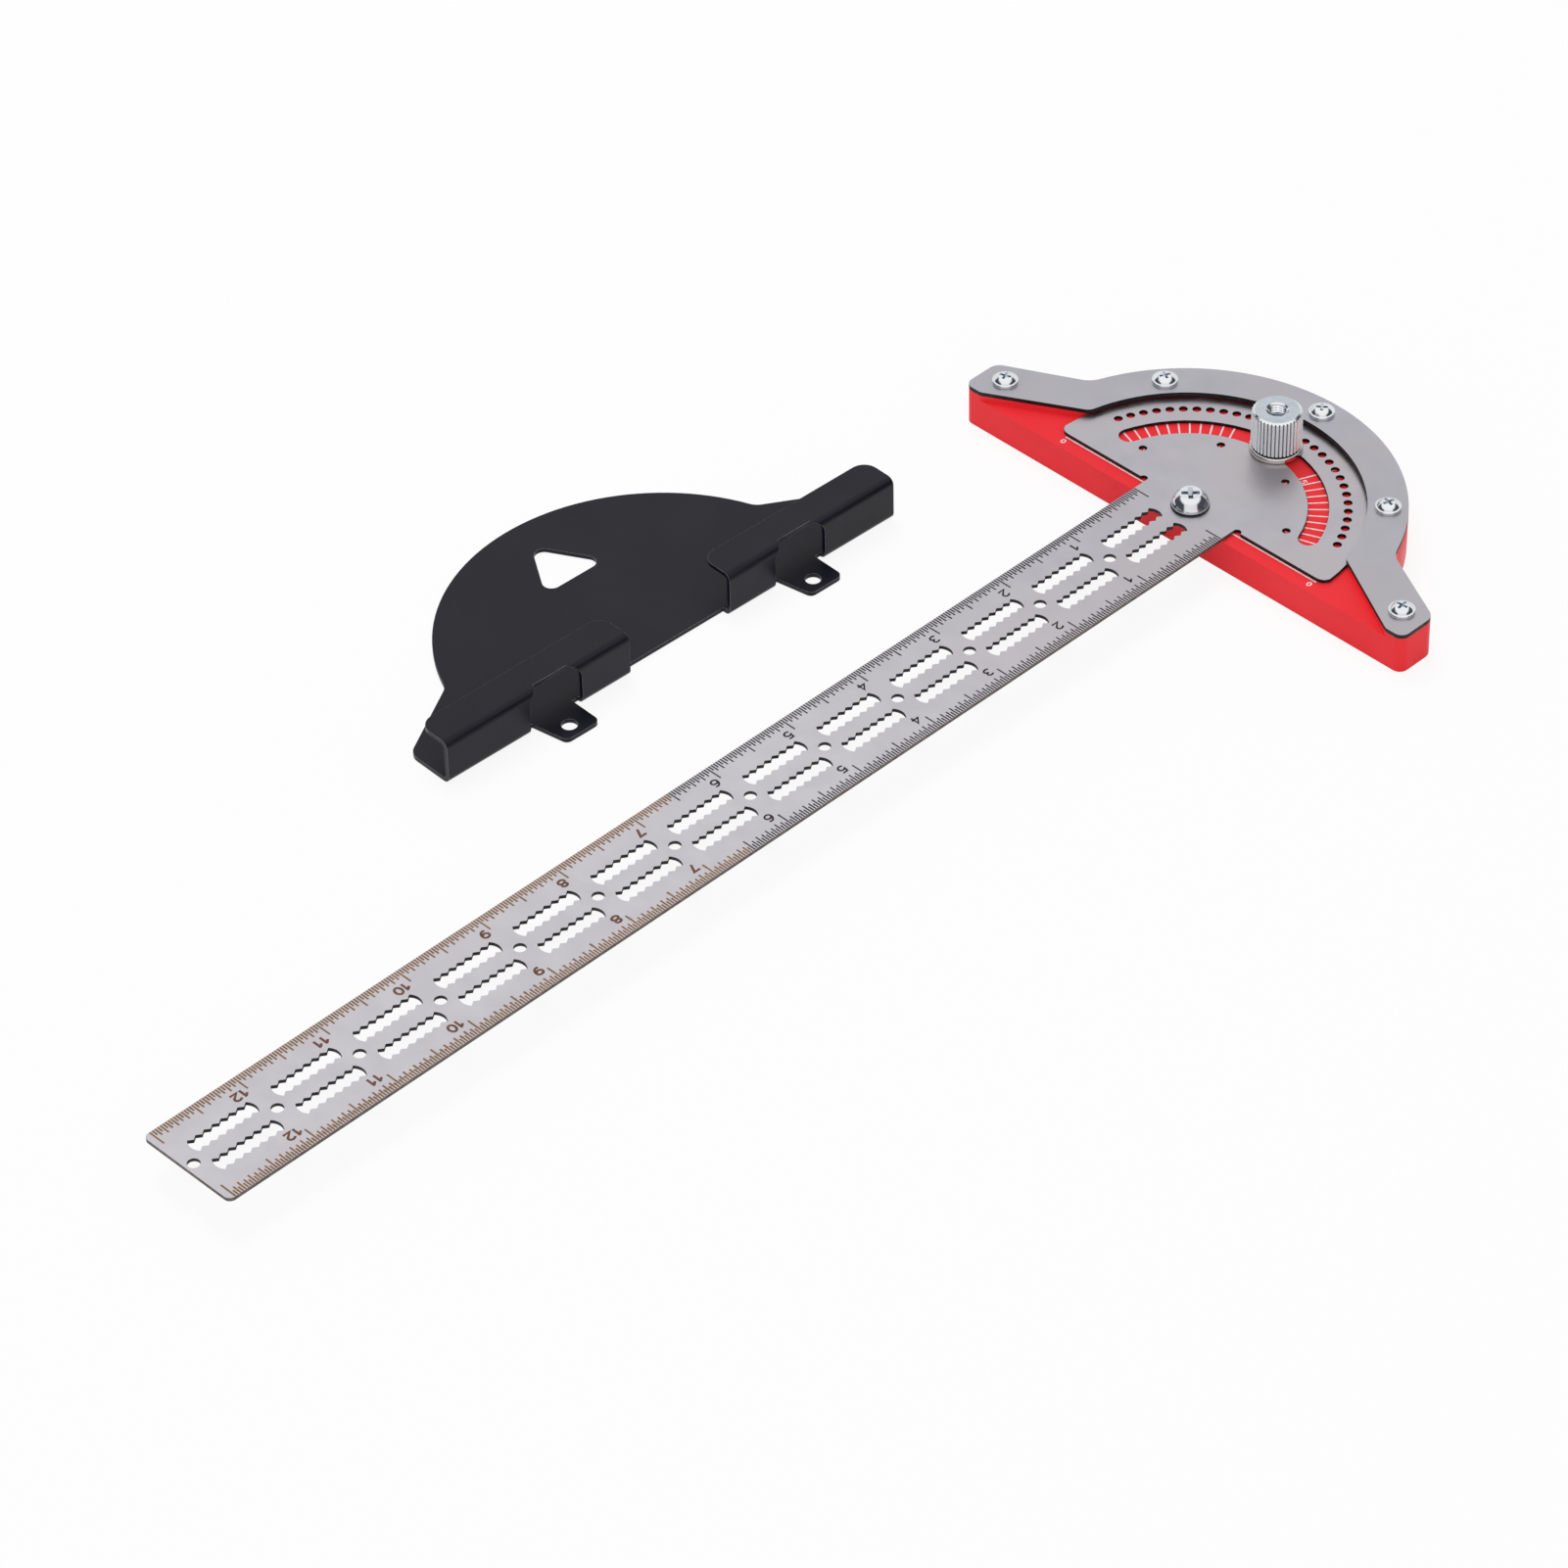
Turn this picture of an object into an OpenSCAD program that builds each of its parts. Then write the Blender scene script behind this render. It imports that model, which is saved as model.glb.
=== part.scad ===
// Angle finder: a head with a straight reference edge, and a pierced blade that turns in it.
// The origin is on the pivot axis at the head's underside. X runs along the reference edge,
// Y runs away from the tip of the blade, and Z is up.

/* [Head] */
// Length of the reference edge, ear tip to ear tip
head_len = 150; // [142:1:170]
// Height of the recess floor that the blade plate turns on
floor_h = 9.1; // [7.5:0.1:14]
// Distance from the pivot to the reference edge
pivot_setback = 4.5; // [3:0.1:6]
// Width of the ear at its end, front to back, with its corner sharp
ear_end_w = 11.5; // [9:0.1:13]
// Slope of the back of each ear against the reference edge, in degrees
neck_slope = 27; // [22:0.5:32]
// Radius that blends the ear into the round back
neck_fillet = 7; // [3:0.5:10]
// Radius of the back corner of each ear
ear_back_r = 3.5; // [1:0.1:4]
// Radius of the front corner of each ear
ear_front_r = 2.5; // [0.5:0.1:3]
// Diameter of the counterbore in the underside for the head of the stud
sink_d = 9.4; // [8.4:0.1:11]

/* [Rim plate] */
// Thickness of the rim plate
rim_t = 1.2; // [0.8:0.1:2]
// Width of the curved rim
rim_w = 10.4; // [9:0.1:13]
// How far the rim plate laps over the sector of the blade plate
rim_lap = 0.7; // [0.4:0.1:1.5]
// Length of the rim plate along the reference edge at each ear
ear_tip_len = 5.5; // [4:0.1:9]
// Slope of the inner edge of each ear, in degrees
ear_inner_slope = 28.7; // [27:0.1:30]
// Radius where that inner edge meets the reference edge
ear_inner_r = 3; // [1:0.1:4]
// Radius where that inner edge meets the curved rim
mouth_r = 3; // [1:0.1:5]
// Distance from the ear's screw to the end of the ear
ear_screw_inset = 7; // [6:0.1:9]
// Height of the ear's screw behind the pivot line
ear_screw_back = 3.3; // [2.5:0.1:4]
// Angle of the side screws of the rim from its middle, in degrees
rim_screw_angle = 50; // [40:1:58]

/* [Blade plate] */
// Thickness of the blade and its sector
plate_t = 1; // [0.8:0.1:1.6]
// Width of the blade
blade_w = 30; // [26:0.5:34]
// Distance from the last pencil hole to the tip of the blade
tip_past = 2.4; // [2.2:0.1:10]
// Radius of the corners of the tip
tip_r = 1.8; // [0.5:0.1:4]
// Radius of the sector
sector_r = 45.5; // [44.5:0.1:47]
// Radius of the lower corners of the sector
sector_corner_r = 3; // [1:0.1:4]
// Radius of the relief beside the blade at the shoulder of the sector
relief_r = 1.05; // [0.8:0.05:1.4]
// Distance of the row of small holes from the edge of the sector
row_in = 5.5; // [4.5:0.1:6.5]
// Diameter of the small holes in that row
row_d = 2.3; // [1.6:0.1:2.8]
// Angle from one hole of the row to the next, in degrees
row_step = 5; // [5:1:10]
// Angle of the last hole of the row from the middle, in degrees
row_end = 70; // [60:5:70]
// Distance of the reading holes from the edge of the sector
inner_in = 19.3; // [18.5:0.1:21.5]
// Diameter of the reading holes
inner_d = 2.2; // [1.6:0.1:2.6]
// Angles of the reading holes from the middle, in degrees
inner_angles = [-70, -25, 25, 70];

/* [Pencil holes and slots] */
// Distance from one pencil hole to the next
hole_pitch = 25.4; // [22:0.1:25.4]
// Number of pencil holes
hole_count = 13; // [8:1:13]
// Diameter of the pencil holes
hole_d = 3.2; // [2:0.1:4]
// Distance of each slot from the middle of the blade
slot_offset = 4.3; // [3.6:0.1:5]
// Width of a slot at the points of its notches
slot_w = 4.7; // [4:0.1:5]
// Depth of a notch
notch_depth = 0.9; // [0.5:0.05:1.1]
// Distance from one notch to the next
notch_pitch = 2.54; // [2.2:0.01:2.6]
// Number of notches along each side of a slot
notch_count = 8; // [5:1:8]
// Rise of the curved ends of a slot
slot_crown = 0.9; // [0.5:0.1:1.3]

/* [Lock] */
// Distance of the lock's stud from the edge of the sector
lock_in = 13; // [12.5:0.1:13.5]
// Diameter of the stud
stud_d = 5; // [4:0.1:5]
// Diameter of the stud's head
stud_head_d = 9; // [7:0.1:9]
// Height of the stud's head
stud_head_h = 2.4; // [1.5:0.1:3]
// Height of the stud above the blade plate
stud_reach = 9.4; // [6:0.1:11]
// Diameter of the lock washer
washer_d = 13.9; // [12:0.1:14.5]
// Thickness of the lock washer
washer_t = 1.5; // [0.8:0.1:2]
// Diameter of the knob over its knurl
knob_d = 13.25; // [11:0.05:14]
// Height of the knob
knob_h = 11; // [8:0.1:14]
// Depth of the knurl
knurl_depth = 0.32; // [0.1:0.02:0.5]
// Number of ridges of the knurl
knurl_count = 36; // [24:1:48]
// Bevel at the top of the knob
knob_bevel = 0.65; // [0.5:0.05:1]
// Bevel at the foot of the knob
foot_bevel = 0.3; // [0.1:0.05:0.6]

/* [Pivot screw] */
// Diameter of the domed head
dome_d = 9.8; // [8:0.1:11]
// Height of the domed head
dome_h = 3.5; // [2.5:0.1:4.5]
// Diameter of the flat top of the dome
dome_top_d = 5.8; // [4:0.1:7]
// Height of the straight edge under the dome
dome_edge_h = 0.7; // [0.3:0.1:1]
// Diameter of the shoulder that the blade turns on
shoulder_d = 6; // [5:0.1:7]
// Diameter of the thread below the shoulder
pivot_thread_d = 4; // [3:0.1:4.5]
// Length of that thread, in a blind hole of the head
pivot_thread_len = 6; // [4:0.5:6.5]
// Diameter of the black washer under the dome
pivot_washer_d = 10; // [8:0.1:11]
// Thickness of that washer
pivot_washer_t = 0.4; // [0.2:0.1:0.8]

/* [Rim screws] */
// Diameter of the head of a rim screw
screw_head_d = 6.9; // [5.5:0.1:7.2]
// Height of the head of a rim screw
screw_head_h = 2; // [1.5:0.1:2.6]
// Diameter of the flat top of that head
screw_top_d = 3.4; // [2.5:0.1:4]
// Height of the straight edge of that head
screw_edge_h = 0.8; // [0.4:0.1:1]
// Diameter of the thread of a rim screw
screw_d = 3; // [2:0.1:3.5]
// Length of a rim screw below its head
screw_len = 7; // [4:0.5:8]

/* [Wall rack] */
// Length of the rack along its straight edge
rack_len = 150; // [146:1:160]
// Thickness of its sheet
sheet_t = 1.2; // [0.8:0.1:1.6]
// Height of the rack over its lips
rack_h = 13; // [12.5:0.1:16]
// Radius of the round side
rack_arc_r = 56; // [54:0.1:58]
// Distance from the straight edge to the centre of the round side
rack_arc_in = 7.9; // [6:0.1:10]
// Width of the rack at each end
rack_end_w = 14.4; // [13:0.1:16]
// Slope of each end's inner side against the straight edge, in degrees
rack_neck_slope = 30.5; // [27:0.5:34]
// Radius that blends that side into the round side
rack_fillet = 5; // [3:0.5:8]
// Radius of the outer corners of the ends
rack_corner_r = 4; // [1:0.1:5]
// Width of the lips beyond the wall's outer face
lip_w = 10.7; // [9:0.1:12]
// Radius of the corners of the lips
lip_corner_r = 4.2; // [1:0.1:5]
// Outer radius of the bends
bend_r = 2; // [1.5:0.1:2.5]
// Width of the gap between the two lips
lip_gap = 33.7; // [26:0.1:36]
// Distance of that gap's middle from the middle of the rack
lip_gap_shift = 1.5; // [0:0.1:3]
// Reach of the fixing tabs from the wall
tab_reach = 8.6; // [7.8:0.1:10]
// Width of a tab at its root
tab_root_w = 13.1; // [12:0.1:14]
// How much a tab narrows on its slanted side
tab_taper = 2.2; // [0:0.1:3]
// Radius of the corners of a tab
tab_r = 1.8; // [1:0.1:3]
// Distance between the holes of the two tabs
tab_span = 82.2; // [78:0.1:86]
// Distance of the middle of the tabs from the middle of the rack
tab_shift = 1.4; // [0:0.05:2]
// Distance of the tab holes from the wall
tab_hole_out = 4.5; // [4:0.1:5]
// Diameter of the tab holes
tab_hole_d = 4.2; // [3:0.1:4.5]
// Width of the gap beside a tab in the open place that it was cut from
tab_relief = 2; // [1:0.1:2.5]
// How far that open place reaches into the lip past the bend
window_bite = 0.3; // [0:0.1:2]
// Radius of the top corners of that open place
window_top_r = 4.5; // [2:0.1:6]
// How far the sheet's edge lies back in the gap between the lips
gap_trim = 2.8; // [2.5:0.1:5]
// Width of the window in the sheet
window_w = 20.6; // [14:0.1:28]
// Height of that window
window_h = 17.2; // [12:0.1:22]
// Radius of the corners of the window
window_r = 2.5; // [1:0.1:3.5]
// Distance of the window from the straight edge
window_in = 38; // [26:1:38]
// Distance from the pivot to the middle of the rack's straight edge, to the left
rack_left = 61.75; // [61.6:0.05:80]
// Distance from the pivot to the middle of the rack's straight edge, toward the blade's tip
rack_down = 122.1; // [121.9:0.1:140]
// Turn of the rack against the blade, in degrees
rack_turn = 2; // [0:0.5:2]

/* [Clearances] */
// Gap between the top of the sector and the rim plate
plate_gap = 0.5; // [0.2:0.1:1]
// Gap round the sector in its recess
sector_gap = 0.5; // [0.2:0.1:1]
// Gap each side between the stud and the curved slot
slot_gap = 0.2; // [0.1:0.05:0.4]
// Radial gap of the blade on the pivot's shoulder
pivot_gap = 0.05; // [0.02:0.01:0.1]
// Radial gap of the washer and the knob on the stud
stud_gap = 0.1; // [0.05:0.01:0.2]
// Radial gap of a screw or stud in the head
thread_gap = 0.05; // [0.02:0.01:0.1]
// Room under the end of a screw in its blind hole
thread_tip = 0.5; // [0.2:0.1:1]
// Radial gap of a rim screw in the rim plate
screw_gap = 0.2; // [0.1:0.05:0.4]

/* [Hidden] */
$fn = 96;
// A cut runs this far past the face that it leaves through
past = 1;

row_r = sector_r - row_in;
inner_r = sector_r - inner_in;
lock_r = sector_r - lock_in;
tip_y = -pivot_setback - hole_pitch * hole_count - tip_past;
rim_in_r = sector_r - rim_lap;
head_r = rim_in_r + rim_w;
recess_r = sector_r + sector_gap;
plate_z = floor_h + plate_t;
rim_z = plate_z + plate_gap;
rim_top = rim_z + rim_t;
half_len = head_len / 2;
ear_back = ear_end_w - pivot_setback;
rim_mid_r = (rim_in_r + head_r) / 2;
screw_depth = screw_len - rim_t;
slot_half_w = stud_d / 2 + slot_gap;
// The slot leaves the stud free past the last hole of the row
slot_end = row_end + 1.3;
ear_screw = [half_len - ear_screw_inset, ear_screw_back];
// Where the two walls of the rack start and end along its straight edge
walls = [
    [-rack_len / 2, lip_gap_shift - lip_gap / 2],
    [lip_gap_shift + lip_gap / 2, rack_len / 2],
];
tabs = [tab_shift - tab_span / 2, tab_shift + tab_span / 2];

function unit(v) = v / norm(v);
function turn(v, a) = [v[0] * cos(a) - v[1] * sin(a), v[0] * sin(a) + v[1] * cos(a)];
function at_angle(r, a) = [r * sin(a), r * cos(a)];
function mirrored(pts) = [for (i = [len(pts) - 1:-1:0]) [-pts[i][0], pts[i][1]]];

// The points of an arc of radius r that rounds the corner p between the points a and b
function corner_arc(a, p, b, r, steps = 8) =
    let (
        u = unit(a - p),
        v = unit(b - p),
        half = acos(max(-1, min(1, u * v))) / 2,
        c = p + unit(u + v) * r / sin(half),
        from = p + u * r / tan(half) - c,
        to = p + v * r / tan(half) - c,
        start = atan2(from[1], from[0]),
        sweep = (atan2(to[1], to[0]) - start + 900) % 360 - 180
    )
    [for (i = [0:steps]) c + turn([r, 0], start + sweep * i / steps)];

// An outline whose corners are rounded: each corner is [point, radius]
function rounded(corners) =
    let (n = len(corners))
    [for (i = [0:n - 1])
        let (
            a = corners[(i + n - 1) % n][0],
            p = corners[i][0],
            b = corners[(i + 1) % n][0],
            r = corners[i][1]
        )
        each (r > 0 ? corner_arc(a, p, b, r) : [p])];

// The points of the fillet between a disc of radius disc_r and a line that rises toward it
// from p at slope, from the line to the disc
function blend(p, slope, disc_r, fillet, steps = 12) =
    let (
        along = [-cos(slope), sin(slope)],
        out = [sin(slope), cos(slope)],
        reach = out * p + fillet,
        c = out * reach - along * sqrt(pow(disc_r + fillet, 2) - pow(reach, 2)),
        start = atan2(-out[1], -out[0]),
        end = atan2(-c[1], -c[0])
    )
    [for (i = [0:steps]) c + turn([fillet, 0], start + (end - start) * i / steps)];

// One ear that leaves a disc of radius disc_r: its end lies at x = half, from y = front to
// y = back, and its back rises at slope until a fillet blends it into the disc
function ear(half, front, back, slope, disc_r, fillet, r_front, r_back) =
    let (to_disc = blend([half, back], slope, disc_r, fillet))
    concat(
        [[0, front]],
        r_front > 0 ? corner_arc([0, front], [half, front], [half, back], r_front)
                    : [[half, front]],
        corner_arc([half, front], [half, back], to_disc[0], r_back),
        to_disc,
        [[0, 0]]
    );

module head_outline() {
    side = ear(half_len, -pivot_setback, ear_back, neck_slope, head_r, neck_fillet,
               ear_front_r, ear_back_r);
    intersection() {
        circle(head_r, $fn = 180);
        translate([-head_r, -pivot_setback]) square([2 * head_r, head_r + pivot_setback]);
    }
    polygon(side);
    polygon(mirrored(side));
}

// What the rim leaves open: the sector's disc, and a mouth that widens to the reference edge
module mouth(disc_r) {
    tip = [half_len - ear_tip_len, -pivot_setback];
    end = tip + [ear_tip_len / 2, 0];
    to_disc = blend(tip, ear_inner_slope, disc_r, mouth_r);
    side = concat(
        [[0, 0]],
        [for (i = [len(to_disc) - 1:-1:0]) to_disc[i]],
        corner_arc(to_disc[0], tip, end, ear_inner_r),
        [end, end - [0, past], [0, -pivot_setback - past]]
    );
    intersection() {
        circle(disc_r, $fn = 180);
        translate([-disc_r, -pivot_setback - past]) square(2 * disc_r);
    }
    polygon(side);
    polygon(mirrored(side));
}

module rim_screw_places() {
    for (a = [-rim_screw_angle, 0, rim_screw_angle]) translate(at_angle(rim_mid_r, a)) children();
    for (s = [-1, 1]) translate([s * ear_screw[0], ear_screw[1]]) children();
}

// The head: a solid casting with a floor for the plate and a raised rim
module base_body() {
    color("#dc343b")
    difference() {
        linear_extrude(rim_z) head_outline();
        translate([0, 0, floor_h]) linear_extrude(plate_t + plate_gap + past) mouth(recess_r);
        translate([0, 0, floor_h - pivot_thread_len - thread_tip])
            cylinder(h = pivot_thread_len + thread_tip + past, d = pivot_thread_d + 2 * thread_gap);
        translate([0, lock_r, -past])
            cylinder(h = floor_h + 2 * past, d = stud_d + 2 * thread_gap);
        translate([0, lock_r, -past]) cylinder(h = stud_head_h + past, d = sink_d);
        rim_screw_places() translate([0, 0, rim_z - screw_depth - thread_tip])
            cylinder(h = screw_depth + thread_tip + past, d = screw_d + 2 * thread_gap);
    }
}

module rim_plate() {
    color("#b2b0b8")
    translate([0, 0, rim_z])
    difference() {
        linear_extrude(rim_t) difference() {
            head_outline();
            mouth(rim_in_r);
        }
        rim_screw_places() translate([0, 0, -past])
            cylinder(h = rim_t + 2 * past, d = screw_d + 2 * screw_gap);
    }
}

// The outline of one slot: notches along both sides, and ends that curve outward
module notched_slot() {
    half = slot_w / 2;
    top = notch_pitch * (notch_count - 1) / 2;
    // Right side, from the top down: a notch point, then the tooth under it
    side = [for (i = [0:notch_count - 1]) each
        i < notch_count - 1
        ? [[half, top - i * notch_pitch], [half - notch_depth, top - (i + 0.5) * notch_pitch]]
        : [[half, top - i * notch_pitch]]];
    crown_r = (half * half + slot_crown * slot_crown) / (2 * slot_crown);
    crown_half = asin(half / crown_r);
    steps = 8;
    // One curved end, from right to left
    crown = [for (i = [1:steps - 1])
        at_angle(crown_r, crown_half * (1 - 2 * i / steps)) + [0, top + slot_crown - crown_r]];
    foot = [for (p = crown) [p[0], -p[1]]];
    head = [for (p = crown) [-p[0], p[1]]];
    polygon(concat(side, foot, mirrored(side), head));
}

module curved_slot() {
    difference() {
        circle(lock_r + slot_half_w, $fn = 180);
        circle(lock_r - slot_half_w, $fn = 180);
        far = 2 * lock_r;
        polygon([[0, 0], far * at_angle(1, slot_end), [far, -far], [-far, -far],
                 far * at_angle(1, -slot_end)]);
    }
    for (s = [-1, 1]) translate(at_angle(lock_r, s * slot_end)) circle(slot_half_w, $fn = 48);
}

module blade_outline() {
    half = blade_w / 2;
    // The sector: a half disc whose lower corners are rounded
    intersection() {
        circle(sector_r, $fn = 180);
        polygon(rounded([
            [[-sector_r - 0.1, 0], sector_corner_r], [[sector_r + 0.1, 0], sector_corner_r],
            [[sector_r + 0.1, sector_r + 1], 0], [[-sector_r - 0.1, sector_r + 1], 0],
        ]));
    }
    polygon(rounded([
        [[-half, tip_y], tip_r], [[half, tip_y], tip_r], [[half, half], 0], [[-half, half], 0],
    ]));
}

// Blade and sector, stamped from one sheet
module blade() {
    color("#b5b3bb")
    translate([0, 0, floor_h])
    difference() {
        linear_extrude(plate_t) difference() {
            blade_outline();
            for (s = [-1, 1]) translate([s * (blade_w / 2 + relief_r), 0])
                circle(relief_r, $fn = 32);
            curved_slot();
            for (k = [1:hole_count], s = [-1, 1])
                translate([s * slot_offset, -pivot_setback - hole_pitch * (k - 0.5)])
                    notched_slot();
        }
        translate([0, 0, -past]) {
            cylinder(h = plate_t + 2 * past, d = shoulder_d + 2 * pivot_gap);
            for (k = [1:hole_count]) translate([0, -pivot_setback - hole_pitch * k])
                cylinder(h = plate_t + 2 * past, d = hole_d, $fn = 48);
            for (a = [-row_end:row_step:row_end]) translate(at_angle(row_r, a))
                cylinder(h = plate_t + 2 * past, d = row_d, $fn = 32);
            for (a = inner_angles) translate(at_angle(inner_r, a))
                cylinder(h = plate_t + 2 * past, d = inner_d, $fn = 32);
        }
    }
}

// A washer whose bore clears the shaft through it
module ring(outer_d, bore_d, t) {
    difference() {
        cylinder(h = t, d = outer_d);
        translate([0, 0, -past]) cylinder(h = t + 2 * past, d = bore_d);
    }
}

module pivot_washer() {
    color("#1c1c1e")
    translate([0, 0, plate_z]) ring(pivot_washer_d, shoulder_d + 2 * pivot_gap, pivot_washer_t);
}

// The profile of a round head from its base to its top: a straight edge of height edge_h, and a
// ball's curve from there to a flat top
function dome(d, top_d, edge_h, h, base, steps = 10) =
    let (
        c = (pow(top_d / 2, 2) + h * h - pow(d / 2, 2) - edge_h * edge_h) / (2 * (h - edge_h)),
        r = norm([d / 2, edge_h - c]),
        start = atan2(edge_h - c, d / 2),
        end = atan2(h - c, top_d / 2)
    )
    concat(
        [[d / 2, base]],
        [for (i = [0:steps]) let (a = start + (end - start) * i / steps)
            [r * cos(a), base + c + r * sin(a)]],
        [[0, base + h]]
    );

// A domed screw, whose shoulder stands on the floor of the recess
module pivot_screw() {
    base = plate_z + pivot_washer_t;
    color("#cfd0d4")
    union() {
        rotate_extrude() polygon(concat(
            [[0, floor_h], [shoulder_d / 2, floor_h], [shoulder_d / 2, base]],
            dome(dome_d, dome_top_d, dome_edge_h, dome_h, base)));
        translate([0, 0, floor_h - pivot_thread_len])
            cylinder(h = pivot_thread_len + past, d = pivot_thread_d);
    }
}

// One pan-head screw of the rim, with its head on the rim plate
module rim_screw(place) {
    color("#cfd0d4")
    translate(place) {
        rotate_extrude() polygon(concat(
            [[0, rim_top]],
            dome(screw_head_d, screw_top_d, screw_edge_h, screw_head_h, rim_top)));
        translate([0, 0, rim_top - screw_len])
            cylinder(h = screw_len + screw_edge_h, d = screw_d);
    }
}

// The stud of the lock, put in from below, with its head sunk in the underside
module lock_stud() {
    color("#b9bdc4")
    translate([0, lock_r, 0]) {
        cylinder(h = stud_head_h, d = stud_head_d);
        cylinder(h = plate_z + stud_reach, d = stud_d);
    }
}

module lock_washer() {
    color("#b9bdc4")
    translate([0, lock_r, plate_z]) ring(washer_d, stud_d + 2 * stud_gap, washer_t);
}

// The thumb nut of the lock, with a straight knurl and a bevelled top
module lock_knob() {
    r = knob_d / 2;
    knurl = [for (i = [0:2 * knurl_count - 1])
        at_angle(r - (i % 2) * knurl_depth, 180 * i / knurl_count)];
    root_r = r - 1.1 * knurl_depth;
    top_r = r - knob_bevel;
    color("#b4bcc8")
    translate([0, lock_r, plate_z + washer_t])
    difference() {
        union() {
            cylinder(h = foot_bevel, r1 = root_r - foot_bevel, r2 = root_r);
            translate([0, 0, foot_bevel]) linear_extrude(knob_h - foot_bevel - knob_bevel)
                polygon(knurl);
            translate([0, 0, knob_h - knob_bevel]) cylinder(h = knob_bevel, r1 = root_r, r2 = top_r);
        }
        translate([0, 0, -past]) cylinder(h = knob_h + 2 * past, d = stud_d + 2 * stud_gap);
    }
}

// The rack lies with its straight edge on y = 0 here, and its round side above
module rack_outline() {
    side = ear(rack_len / 2, -rack_arc_in, rack_end_w - rack_arc_in, rack_neck_slope,
               rack_arc_r, rack_fillet, 0, rack_corner_r);
    translate([0, rack_arc_in]) {
        intersection() {
            circle(rack_arc_r, $fn = 180);
            translate([-rack_arc_r, -rack_arc_in])
                square([2 * rack_arc_r, rack_arc_r + rack_arc_in]);
        }
        polygon(side);
        polygon(mirrored(side));
    }
}

// A fixing tab: square on the side toward +x, slanted on the other
module tab_outline() {
    half = tab_root_w / 2;
    polygon(rounded([
        [[-half, bend_r], 0], [[-half + tab_taper, -tab_reach], tab_r],
        [[half, -tab_reach], tab_r], [[half, bend_r], 0],
    ]));
}

// The window in the middle of the sheet, a triangle with round corners
module hang_window() {
    half = window_w / 2;
    polygon(rounded([
        [[-half, window_in], window_r], [[half, window_in], window_r],
        [[0, window_in + window_h], window_r],
    ]));
}

// One strip bent up into a wall and over into a lip, from one place along the edge to another
module bent_strip(from, to) {
    inner = bend_r - sheet_t;
    steps = 6;
    low = [bend_r, bend_r];
    high = [bend_r, rack_h - bend_r];
    outer_low = [for (i = [0:steps]) low + bend_r * at_angle(1, 180 + 90 * i / steps)];
    outer_high = [for (i = [0:steps]) high + bend_r * at_angle(1, 270 + 90 * i / steps)];
    inner_high = [for (i = [steps:-1:0]) high + inner * at_angle(1, 270 + 90 * i / steps)];
    inner_low = [for (i = [steps:-1:0]) low + inner * at_angle(1, 180 + 90 * i / steps)];
    intersection() {
        translate([from, 0, 0]) rotate([90, 0, 90]) linear_extrude(to - from)
            polygon(concat(
                outer_low, outer_high, [[lip_w, rack_h], [lip_w, rack_h - sheet_t]],
                inner_high, inner_low));
        linear_extrude(rack_h) polygon(rounded([
            [[from, 0], 0], [[to, 0], 0], [[to, lip_w], lip_corner_r],
            [[from, lip_w], lip_corner_r],
        ]));
    }
}

// The open place that a tab was cut from: it takes in the wall and both of its bends
module tab_window() {
    half = tab_root_w / 2 + tab_relief;
    deep = bend_r + window_bite;
    // The curve of its top corners ends just over the lip
    top = rack_h + 0.25;
    translate([0, deep, 0]) rotate([90, 0, 0]) linear_extrude(deep + past) polygon(rounded([
        [[-half, -past], 0], [[-half, top], window_top_r],
        [[half, top], window_top_r], [[half, -past], 0],
    ]));
}

// The rack: one sheet, bent up along its straight edge into two lips, with its tabs left flat
module wall_rack() {
    color("#2a2b30")
    translate([-rack_left, -rack_down, 0]) rotate(90 - rack_turn)
    difference() {
        union() {
            linear_extrude(sheet_t) difference() {
                rack_outline();
                translate([-rack_len / 2 - past, -past])
                    square([rack_len + 2 * past, bend_r + past]);
                translate([lip_gap_shift - lip_gap / 2, 0]) square([lip_gap, gap_trim]);
                hang_window();
            }
            difference() {
                for (w = walls) bent_strip(w[0], w[1]);
                for (x = tabs) translate([x, 0, 0]) tab_window();
            }
            for (x = tabs) translate([x, 0, 0]) linear_extrude(sheet_t) tab_outline();
        }
        for (x = tabs) translate([x, -tab_hole_out, -past])
            cylinder(h = sheet_t + 2 * past, d = tab_hole_d, $fn = 48);
    }
}

base_body();
blade();
rim_plate();
pivot_screw();
pivot_washer();
rim_screw([-ear_screw[0], ear_screw[1], 0]);  // rim_screw_left_ear
rim_screw(at_angle(rim_mid_r, -rim_screw_angle));  // rim_screw_left
rim_screw(at_angle(rim_mid_r, 0));  // rim_screw_middle
rim_screw(at_angle(rim_mid_r, rim_screw_angle));  // rim_screw_right
rim_screw([ear_screw[0], ear_screw[1], 0]);  // rim_screw_right_ear
lock_stud();
lock_washer();
lock_knob();
wall_rack();
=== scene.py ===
import math

import bmesh
import bpy
from mathutils import Matrix, Vector

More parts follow.
